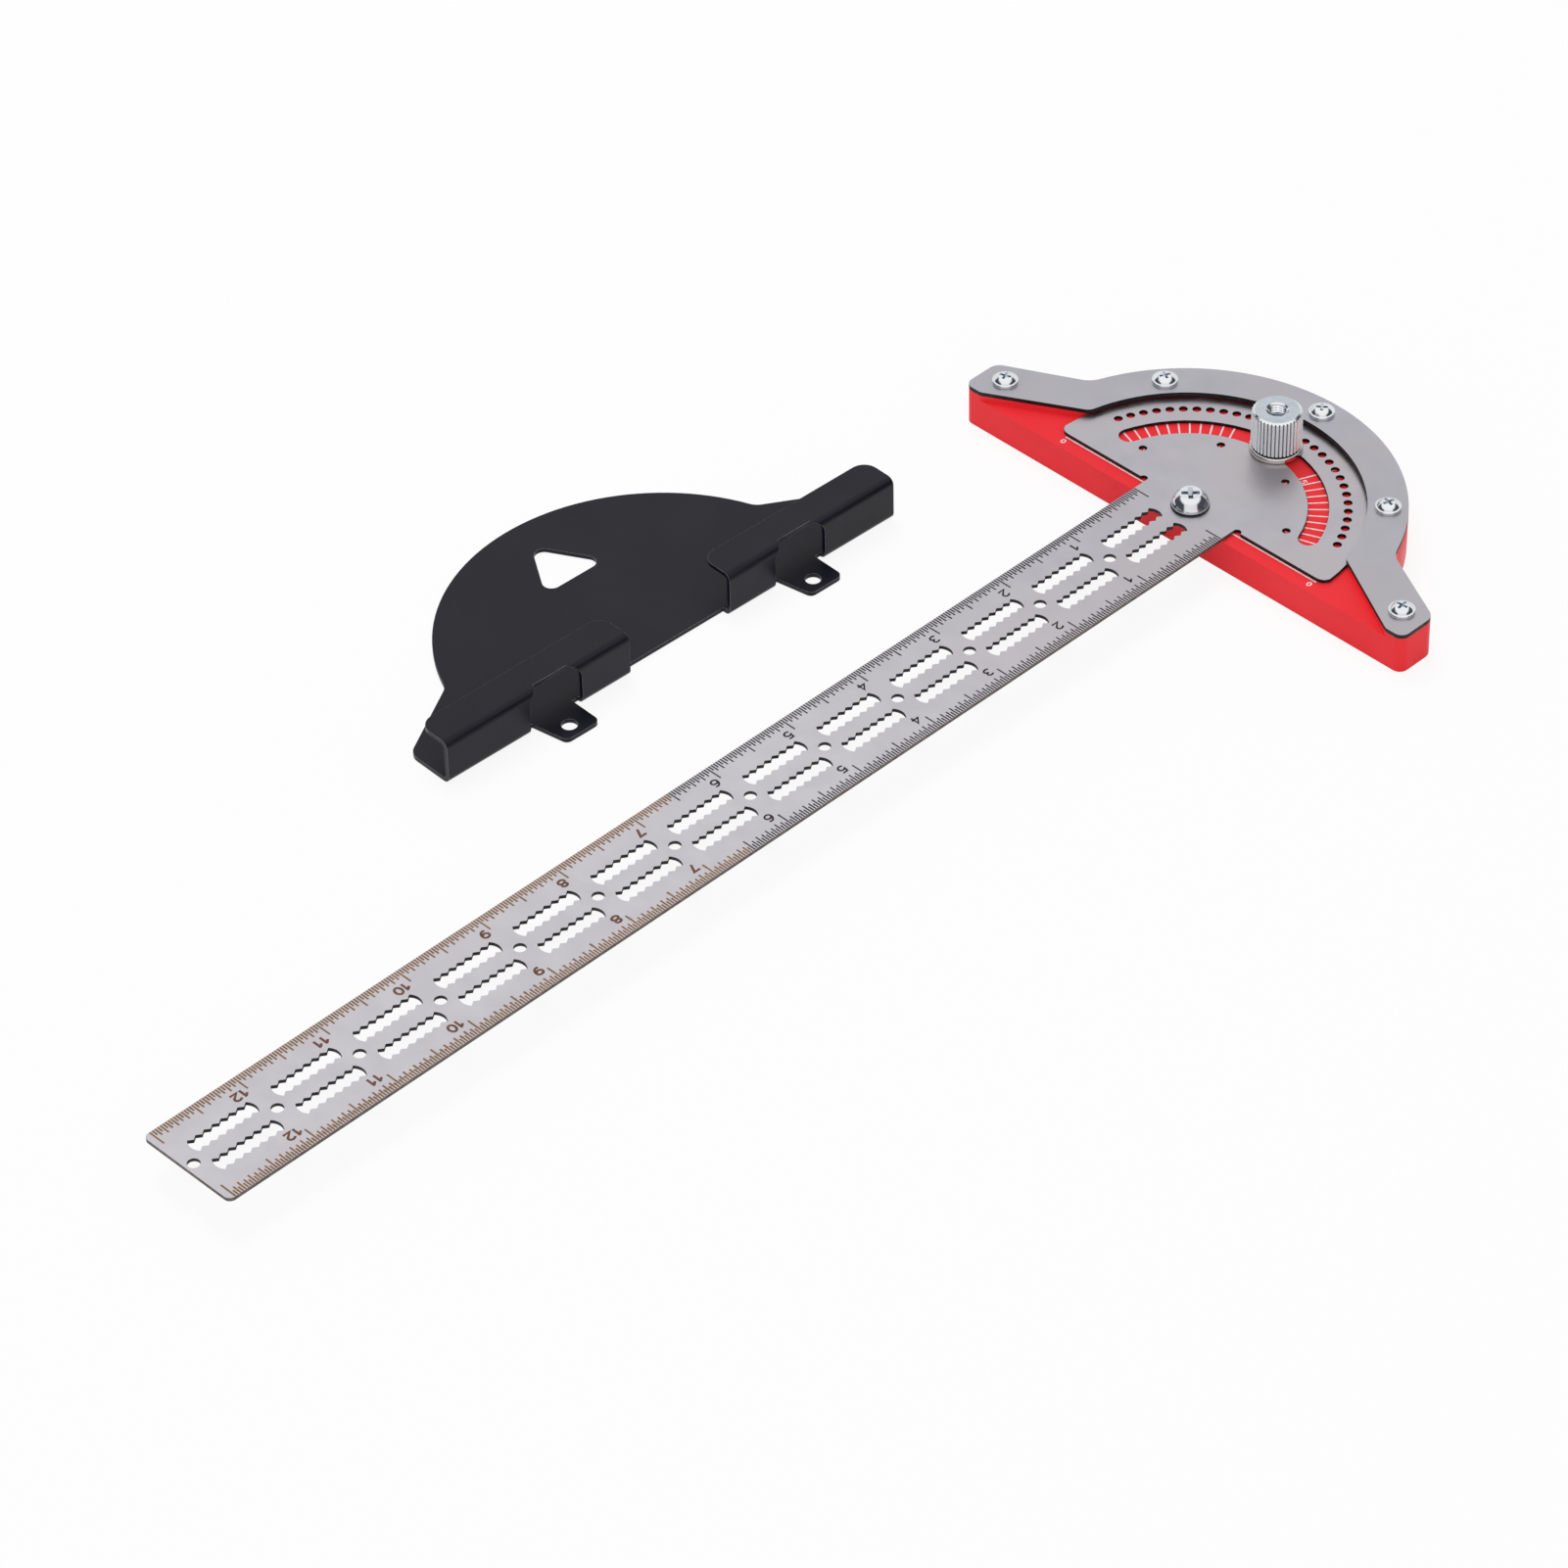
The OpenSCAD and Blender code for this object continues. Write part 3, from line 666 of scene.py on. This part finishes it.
def cut(mesh, cutter, top):
    """The mesh with the cutter taken out of it, the cutter standing at height top."""
    body = bpy.data.objects.new("body", mesh)
    tool = bpy.data.objects.new("tool", cutter)
    tool.location.z = top
    for o in (body, tool):
        bpy.context.scene.collection.objects.link(o)
    boolean = body.modifiers.new("recess", "BOOLEAN")
    boolean.object = tool
    boolean.solver = "EXACT"
    bpy.context.view_layer.update()
    graph = bpy.context.evaluated_depsgraph_get()
    made = bpy.data.meshes.new_from_object(body.evaluated_get(graph))
    for o in (body, tool):
        bpy.data.objects.remove(o)
    return made


def arc(centre, radius, start, end, steps):
    """(radius, height) points along an arc, angles in degrees from the outside."""
    points = []
    for i in range(steps + 1):
        a = math.radians(start + (end - start) * i / steps)
        points.append((centre[0] + radius * math.cos(a), centre[1] + radius * math.sin(a)))
    return points


def cap(outer, inner, steps):
    """A ball's curve, centred on the axis, from one (radius, height) point to a higher one."""
    rise = inner[1] - outer[1]
    centre = (inner[0] ** 2 + inner[1] ** 2 - outer[0] ** 2 - outer[1] ** 2) / (2 * rise)
    radius = math.hypot(outer[0], outer[1] - centre)
    start = math.degrees(math.atan2(outer[1] - centre, outer[0]))
    end = math.degrees(math.atan2(inner[1] - centre, inner[0]))
    return arc((0, centre), radius, start, end, steps)


def turned(profile, steps):
    return skin([circle(r, z, steps) for r, z in profile])


# Edges of a turned piece that bend by more than this, in degrees, stay crisp
TURNED_CRISP = 32
# Steps round a screw or the stud, and round the wider pivot screw
TURNED_STEPS = 72
PIVOT_STEPS = 96
# Faces within this height of a screw's top are its top
TOP_NEAR = 0.05 * MM
# Materials of a screw's faces, past the head's own
RECESS_WALL = 1
RECESS_FLOOR = 2
# The least that the normal of a level face points up
LEVEL = 0.9


def dull_recess(mesh, middle, reach, top, depth):
    """Painted shade in the recess: its walls get the duller blue zinc and its floor the dark grey.
    """
    mesh.materials.append(BLUE_ZINC)
    mesh.materials.append(PAINTED_SHADE)
    for face in mesh.polygons:
        out = math.hypot(face.center.x - middle[0], face.center.y - middle[1])
        if out < reach and TOP_NEAR < top - face.center.z < depth + TOP_NEAR:
            face.material_index = RECESS_FLOOR if face.normal.z > LEVEL else RECESS_WALL


# The rim screws, and the angle that each was driven to
RIM_SCREWS = {
    "rim_screw_left_ear": 20,
    "rim_screw_left": 64,
    "rim_screw_middle": 38,
    "rim_screw_right": 75,
    "rim_screw_right_ear": 5,
}


def rim_screws():
    """Pan heads with a cross recess, each left at the angle that it was driven to."""
    low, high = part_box("rim_screw_middle")
    radius = (high.x - low.x) / 2
    top = high.z
    shank = 1.5 * MM
    foot_fold = 0.12 * MM
    fold = 0.22 * MM
    edge = rim_z + 0.85 * MM
    ring = radius - 0.55 * MM
    flat = 1.7 * MM
    profile = [(shank, low.z), (shank, rim_z), (radius - foot_fold, rim_z)]
    profile += arc((radius - foot_fold, rim_z + foot_fold), foot_fold, -60, 0, 3)
    profile += arc((radius - fold, edge - fold), fold, 0, 90, 6)
    profile += cap((ring, edge), (flat, top), 10)
    profile += [(flat / 2, top)]
    recess_span = 1.55 * MM
    recess_depth = 1.2 * MM
    cutter = cross_cutter(recess_span, width=0.36 * MM, depth=recess_depth,
                          foot_span=0.5 * MM, foot_width=0.26 * MM)
    shape = cut(to_mesh(turned(profile, TURNED_STEPS)), cutter, top)
    smooth(shape, TURNED_CRISP)
    for name, angle in RIM_SCREWS.items():
        low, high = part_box(name)
        middle = (low + high) / 2
        mesh = shape.copy()
        mesh.transform(Matrix.Rotation(math.radians(angle), 4, "Z"))
        mesh.transform(Matrix.Translation((middle.x, middle.y, 0)))
        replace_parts(place(name + "_dressed", mesh, ZINC, "head"), name)
        # Painted shade in each rim screw's cross recess
        dull_recess(mesh, middle, recess_span, top, recess_depth)


PIVOT_SCREW_ANGLE = 45


def pivot_screw():
    """The domed screw that the blade turns on."""
    low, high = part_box("pivot_screw")
    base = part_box("pivot_washer")[1].z
    radius = high.x
    top = high.z
    edge = base + 0.7 * MM
    fold = 0.2 * MM
    flat = 2.9 * MM
    shank = 2 * MM
    shoulder = 3 * MM
    profile = [(shank, low.z), (shank, floor_z), (shoulder, floor_z), (shoulder, base)]
    profile += arc((radius - fold, base + fold), fold, -90, 0, 4)
    profile += cap((radius, edge), (flat, top), 16)
    profile += [(flat / 2, top)]
    recess_span = 2.35 * MM
    recess_depth = 1.7 * MM
    cutter = cross_cutter(recess_span, width=0.62 * MM, depth=recess_depth,
                          foot_span=1 * MM, foot_width=0.4 * MM)
    shape = cut(to_mesh(turned(profile, PIVOT_STEPS)), cutter, top)
    smooth(shape, TURNED_CRISP)
    shape.transform(Matrix.Rotation(math.radians(PIVOT_SCREW_ANGLE), 4, "Z"))
    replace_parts(place("pivot_screw_dressed", shape, ZINC, "head"), "pivot_screw")
    # Painted shade in the pivot screw's cross recess
    dull_recess(shape, (0, 0), recess_span, top, recess_depth)


KNURL_RIDGES = 38
KNURL_DEPTH = 0.46 * MM
KNURL_SAMPLES = 8
KNURL_STEPS = KNURL_RIDGES * KNURL_SAMPLES
# How much steeper the ridges are than a plain zigzag, which leaves the grooves flat
KNURL_STEEPNESS = 1.25
KNOB_TOP_IN = 0.85 * MM
KNOB_BEVEL = 0.7 * MM
KNOB_BEVEL_LEVELS = 8
KNOB_FOOT = 0.5 * MM
KNOB_FOOT_LEVELS = 6
KNOB_BORE = 2.6 * MM
COUNTERSINK = 0.35 * MM
THREAD_PITCH = 0.8 * MM
THREAD_CREST = 2.2 * MM
THREAD_LEVELS = 36
# Levels over which the thread rises out of the bore at each end
THREAD_FADE = 3
# How far the thread keeps from the stud's end, from the countersink and from the plain bore
THREAD_OVER_STUD = 0.25 * MM
THREAD_UNDER_SINK = 0.1 * MM
THREAD_OVER_BORE = 0.05 * MM
KNOB_CRISP = 28
# How far up the normal of a face points on the bevel and the top, on the top alone, and at the foot
BEVEL_UP = 0.3
TOP_UP = 0.95
FOOT_UP = -0.2
# How deep in the knurl the crests end, and between which depths the grooves lie
CREST_DEEP = 0.4
GROOVE_DEEP = (0.93, 1.05)


def knob_ring(radius_at, z):
    """A ring of points whose radius is worked out at each step round the knob."""
    points = []
    for step in range(KNURL_STEPS):
        a = 2 * math.pi * step / KNURL_STEPS
        r = radius_at(step)
        points.append((r * math.cos(a), r * math.sin(a), z))
    return points


def knurl_rings(radius, low, high):
    """Rings up the outside of the knob: the knurl, kept inside a turned outline."""
    levels = [low + KNOB_FOOT * t / KNOB_FOOT_LEVELS for t in range(KNOB_FOOT_LEVELS + 1)]
    levels += [high - KNOB_BEVEL * (1 - t / KNOB_BEVEL_LEVELS)
               for t in range(KNOB_BEVEL_LEVELS + 1)]
    rings = []
    for z in levels:
        up = min(1, (z - low) / KNOB_FOOT)
        down = min(1, (high - z) / KNOB_BEVEL)
        limit = min(radius - (KNOB_FOOT + KNURL_DEPTH) * (1 - up),
                    radius - KNOB_TOP_IN * (1 - down))

        def radius_at(step, limit=limit):
            across = abs((step % KNURL_SAMPLES) / KNURL_SAMPLES - 0.5) * 2
            return min(limit, radius - KNURL_DEPTH * min(1, (1 - across) * KNURL_STEEPNESS))

        rings.append(knob_ring(radius_at, z))
    return rings


def thread_rings(low, high):
    """Rings down the threaded bore."""
    rings = []
    for level in range(THREAD_LEVELS + 1):
        z = high - (high - low) * level / THREAD_LEVELS
        fade = min(1, level / THREAD_FADE, (THREAD_LEVELS - level) / THREAD_FADE)

        def radius_at(step, z=z, fade=fade):
            phase = (z / THREAD_PITCH - step / KNURL_STEPS) % 1
            return KNOB_BORE - (KNOB_BORE - THREAD_CREST) * fade * (1 - abs(phase - 0.5) * 2)

        rings.append(knob_ring(radius_at, z))
    return rings


def finish_knob(mesh, middle, radius):
    """Painted highlight on the crests, the bevel and the bore, and painted shade at the bottoms of
    the grooves and on the foot; the level faces keep their own zinc.
    """
    level, flank, groove, crest_highlight, bright = range(5)
    for finish in (WORN_ZINC, PAINTED_SHADE, CREST_HIGHLIGHT, ZINC):
        mesh.materials.append(finish)
    for face in mesh.polygons:
        out = math.hypot(face.center.x - middle.x, face.center.y - middle.y)
        # How deep in the knurl the face lies, from 0 at the top of a ridge to 1 in a groove
        deep = (radius - out) / KNURL_DEPTH
        # The bore and the bevel get the brighter screw zinc as a painted highlight
        if out < KNOB_BORE + COUNTERSINK:
            face.material_index = bright
        elif face.normal.z > BEVEL_UP:
            face.material_index = bright if face.normal.z < TOP_UP else level
        # Painted shade on the foot and at the bottoms of the grooves, painted highlight on the
        # crests
        elif face.normal.z < FOOT_UP or GROOVE_DEEP[0] < deep < GROOVE_DEEP[1]:
            face.material_index = groove
        else:
            face.material_index = crest_highlight if deep < CREST_DEEP else flank


def lock_knob():
    """The thumb nut: a straight knurl between two turned bevels, and a threaded bore."""
    low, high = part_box("lock_knob")
    middle = (low + high) / 2
    radius = (high.y - low.y) / 2
    stud_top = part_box("lock_stud")[1].z
    thread_low = stud_top + THREAD_OVER_STUD
    thread_high = high.z - COUNTERSINK - THREAD_UNDER_SINK
    rings = knurl_rings(radius, low.z, high.z)
    rings.append(circle(KNOB_BORE + COUNTERSINK, high.z, KNURL_STEPS))
    rings.append(circle(KNOB_BORE, high.z - COUNTERSINK, KNURL_STEPS))
    rings += thread_rings(thread_low, thread_high)
    rings.append(circle(KNOB_BORE, thread_low - THREAD_OVER_BORE, KNURL_STEPS))
    rings.append(circle(KNOB_BORE, low.z, KNURL_STEPS))
    mesh = to_mesh(skin(rings, joined=True))
    smooth(mesh, KNOB_CRISP)
    mesh.transform(Matrix.Translation((middle.x, middle.y, 0)))
    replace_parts(place("lock_knob_dressed", mesh, BLUE_ZINC, "lock_knob"), "lock_knob")
    finish_knob(mesh, middle, radius)


def lock_stud():
    """The stud: a bevelled end, a turned head with a cross recess in the underside."""
    low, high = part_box("lock_stud")
    middle = (low + high) / 2
    head_r = (high.x - low.x) / 2
    head_h = 2.4 * MM
    head_bevel = 0.4 * MM
    shaft = 2.5 * MM
    bevel = 0.5 * MM
    centre = 0.75 * MM
    profile = [(head_r - head_bevel, low.z), (head_r, low.z + head_bevel), (head_r, low.z + head_h),
               (shaft, low.z + head_h), (shaft, high.z - bevel), (shaft - bevel, high.z),
               (centre, high.z)]
    cutter = cross_cutter(span=2.2 * MM, width=0.5 * MM, depth=1.5 * MM,
                          foot_span=0.9 * MM, foot_width=0.35 * MM)
    cutter.transform(Matrix.Rotation(math.pi, 4, "X"))
    mesh = cut(to_mesh(turned(profile, TURNED_STEPS)), cutter, low.z)
    smooth(mesh, TURNED_CRISP)
    mesh.transform(Matrix.Translation((middle.x, middle.y, 0)))
    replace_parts(place("lock_stud_dressed", mesh, BLUE_ZINC, "head"), "lock_stud")


# The camera: place, turn in degrees, focal length and sensor width in millimetres, and clipping
CAMERA_PLACE = (878.25 * MM, -994.47 * MM, 1054.52 * MM)
CAMERA_TURN = (49.3683, 0.9972, 45.1172)
CAMERA_LENS = 152.39
CAMERA_SENSOR = 36
CAMERA_CLIP = (0.05, 20)


def camera():
    data = bpy.data.cameras.new("camera")
    data.sensor_width = CAMERA_SENSOR
    data.lens = CAMERA_LENS
    data.clip_start, data.clip_end = CAMERA_CLIP
    made = bpy.data.objects.new("camera", data)
    made.location = CAMERA_PLACE
    made.rotation_euler = [math.radians(a) for a in CAMERA_TURN]
    bpy.context.scene.collection.objects.link(made)
    bpy.context.scene.camera = made


def seen_rays(tree):
    """1 for the rays that show a surface or a background: camera, glossy and transmission."""
    path = tree.nodes.new("ShaderNodeLightPath")
    total = path.outputs["Is Camera Ray"]
    for output in ("Is Glossy Ray", "Is Transmission Ray"):
        add = tree.nodes.new("ShaderNodeMath")
        add.operation = "MAXIMUM"
        tree.links.new(total, add.inputs[0])
        tree.links.new(path.outputs[output], add.inputs[1])
        total = add.outputs[0]
    return path, total


FLOOR_SIZE = 12
FLOOR_GAP = 0.02 * MM
FLOOR_COLOUR = (0.95, 0.95, 0.95, 1)
FLOOR_ROUGHNESS = 0.9
# Share of plain white in what is seen of the floor; the rest keeps the shadows
FLOOR_SHOWN_WHITE = 0.88
ROOM_LIGHT = 0.62
# The dark sides of the studio, which only metal shows
SCREEN_DARK = (0.06, 0.065, 0.08, 1)
WALL_WHITE = (0.83, 0.83, 0.83, 1)
CEILING_WHITE = (1, 1, 1, 1)
# Where the dark sides start and are full: aside, from behind to the front, and from the top down
DARK_ASIDE = (0.54, 0.66)
DARK_FRONT = (-0.6, -0.45)
DARK_DOWN = (0.64, 0.54)
# How high the walls end and the ceiling starts
CEILING_UP = (0.56, 0.74)


def floor():
    """A plain white floor that keeps a part of the object's shadow."""
    bm = bmesh.new()
    bmesh.ops.create_grid(bm, x_segments=1, y_segments=1, size=FLOOR_SIZE / 2)
    mesh = bpy.data.meshes.new("floor")
    bm.to_mesh(mesh)
    bm.free()
    made = bpy.data.objects.new("floor", mesh)
    made.location.z = cad_low.z - FLOOR_GAP
    bpy.context.scene.collection.objects.link(made)
    material = bpy.data.materials.new("floor_white")
    material.use_nodes = True
    tree = material.node_tree
    shader = tree.nodes["Principled BSDF"]
    shader.inputs["Base Color"].default_value = FLOOR_COLOUR
    shader.inputs["Roughness"].default_value = FLOOR_ROUGHNESS
    shader.inputs["Specular IOR Level"].default_value = 0
    white = tree.nodes.new("ShaderNodeEmission")
    mix = tree.nodes.new("ShaderNodeMixShader")
    share = tree.nodes.new("ShaderNodeMath")
    share.operation = "MULTIPLY"
    share.inputs[1].default_value = FLOOR_SHOWN_WHITE
    seen = seen_rays(tree)[1]
    tree.links.new(seen, share.inputs[0])
    tree.links.new(share.outputs[0], mix.inputs[0])
    tree.links.new(shader.outputs[0], mix.inputs[1])
    tree.links.new(white.outputs[0], mix.inputs[2])
    tree.links.new(mix.outputs[0], tree.nodes["Material Output"].inputs["Surface"])
    mesh.materials.append(material)


def along(tree, where, direction):
    """How far a direction seen lies along another one, from -1 to 1."""
    made = tree.nodes.new("ShaderNodeVectorMath")
    made.operation = "DOT_PRODUCT"
    made.inputs[1].default_value = direction
    tree.links.new(where, made.inputs[0])
    return made.outputs["Value"]


def maths(tree, operation, *values):
    made = tree.nodes.new("ShaderNodeMath")
    made.operation = operation
    for socket, value in zip(made.inputs, values):
        tree.links.new(value, socket)
    return made.outputs[0]


def world():
    """An even room light; what is seen of the room is white, but for its two dark sides."""
    made = bpy.data.worlds.new("studio")
    made.use_nodes = True
    bpy.context.scene.world = made
    tree = made.node_tree
    light = tree.nodes["Background"]
    light.inputs["Color"].default_value = (1, 1, 1, 1)
    light.inputs["Strength"].default_value = ROOM_LIGHT
    seen_background = tree.nodes.new("ShaderNodeBackground")
    path, seen = seen_rays(tree)
    where = tree.nodes.new("ShaderNodeTexCoord").outputs["Generated"]
    turn = math.radians(CAMERA_TURN[2])
    aside = maths(tree, "ABSOLUTE", along(tree, where, (math.cos(turn), math.sin(turn), 0)))
    front = along(tree, where, (math.sin(turn), -math.cos(turn), 0))
    up = along(tree, where, (0, 0, 1))
    dark = spread(tree, aside, *DARK_ASIDE)
    dark = maths(tree, "MULTIPLY", dark, spread(tree, front, *DARK_FRONT))
    dark = maths(tree, "MULTIPLY", dark, spread(tree, up, *DARK_DOWN))
    room = blended(tree, spread(tree, up, *CEILING_UP), WALL_WHITE, CEILING_WHITE)
    shaded = blended(tree, dark, room, SCREEN_DARK)
    shown = blended(tree, path.outputs["Is Camera Ray"], shaded, (1, 1, 1, 1))
    tree.links.new(shown, seen_background.inputs["Color"])
    mix = tree.nodes.new("ShaderNodeMixShader")
    tree.links.new(seen, mix.inputs[0])
    tree.links.new(light.outputs[0], mix.inputs[1])
    tree.links.new(seen_background.outputs[0], mix.inputs[2])
    tree.links.new(mix.outputs[0], tree.nodes["World Output"].inputs["Surface"])


# The lamps: place, size across and power
LAMPS = {
    "key": ((-0.9, 0.3, 2.0), 1.2, 14),
    "fill": ((1.2, -1.4, 1.6), 1.4, 8),
}
LAMP_AIM = (0, -0.08, 0)


def lamp(name, place_at, size, power):
    data = bpy.data.lights.new(name, "AREA")
    data.shape = "DISK"
    data.size = size
    data.energy = power
    made = bpy.data.objects.new(name, data)
    made.location = place_at
    made.rotation_euler = (Vector(LAMP_AIM) - Vector(place_at)).to_track_quat("-Z", "Y").to_euler()
    # Metal shows the even room, and not the lamp itself
    made.visible_glossy = False
    bpy.context.scene.collection.objects.link(made)


def lights():
    for name, (place_at, size, power) in LAMPS.items():
        lamp(name, place_at, size, power)


dress_frame()
blade_scale()
dial_marks()
rim_screws()
pivot_screw()
lock_knob()
lock_stud()
camera()
floor()
world()
lights()
bpy.context.scene.view_settings.view_transform = "Standard"
